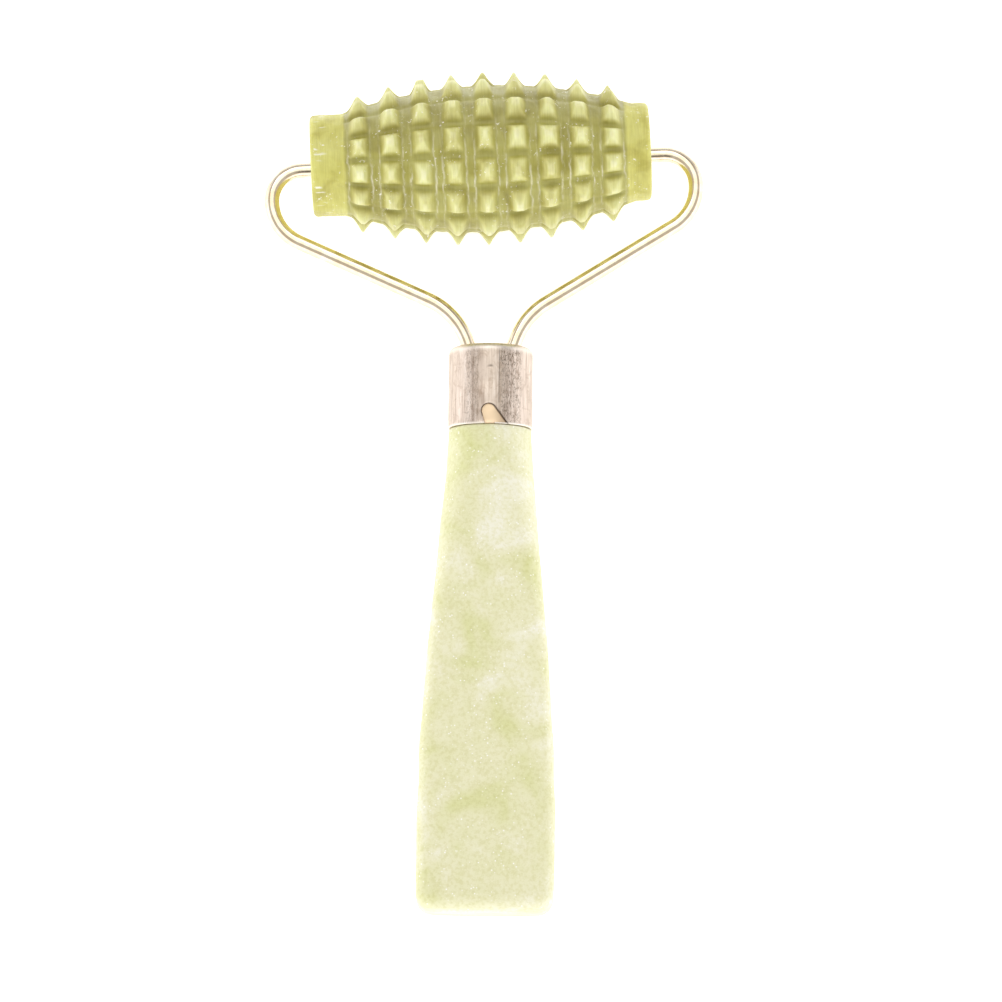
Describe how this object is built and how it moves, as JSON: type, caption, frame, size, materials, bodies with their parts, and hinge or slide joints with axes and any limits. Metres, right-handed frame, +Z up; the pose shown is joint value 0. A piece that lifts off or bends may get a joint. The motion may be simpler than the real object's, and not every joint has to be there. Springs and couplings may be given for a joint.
{
  "type": "face roller",
  "caption": "Hand-held stone face roller: a spiked barrel-shaped stone spins on the inward ends of a bent wire frame, held by a metal ferrule on a flat stone handle.",
  "frame": {"origin": "middle of the object's box on the surface that it lies on: the roller's lowest spike and the lower edge of the handle's butt touch Z = 0", "axes": "+Y along the handle towards the roller, +X across to the roller's right-hand end, +Z up, away from the surface that it lies on"},
  "size_m": [0.0754, 0.1444, 0.0297],
  "materials": {
    "pale_jade": "polished pale cream and yellow-green jade (serpentine), cloudy, with soft veins and fine glints",
    "plated_ferrule": "drawn thin sheet, warm silver plating with upright brush marks and fine scratches",
    "cured_resin": "cured casting resin, hidden under the ferrule",
    "plated_wire": "pale gold bright plating, mirror-like",
    "olive_jade": "turned and fluted olive-green jade (serpentine) with lathe lines and small chips, half polished",
    "bush_plastic": "milky white moulded plastic"
  },
  "bodies": {
    "grip": {"handle": "pale_jade", "ferrule": "plated_ferrule", "resin_fill": "cured_resin", "wire_frame": "plated_wire"},
    "roller": {"roller_stone": "olive_jade", "bush_left": "bush_plastic", "bush_right": "bush_plastic"}
  },
  "joints": [
    {"name": "roller_spin", "type": "hinge", "parent": "grip", "child": "roller", "pos_m": [-0.00064, 0.05755, 0.01484], "axis": [0.9984, 0.0557, 0.0032], "continuous": true}
  ]
}
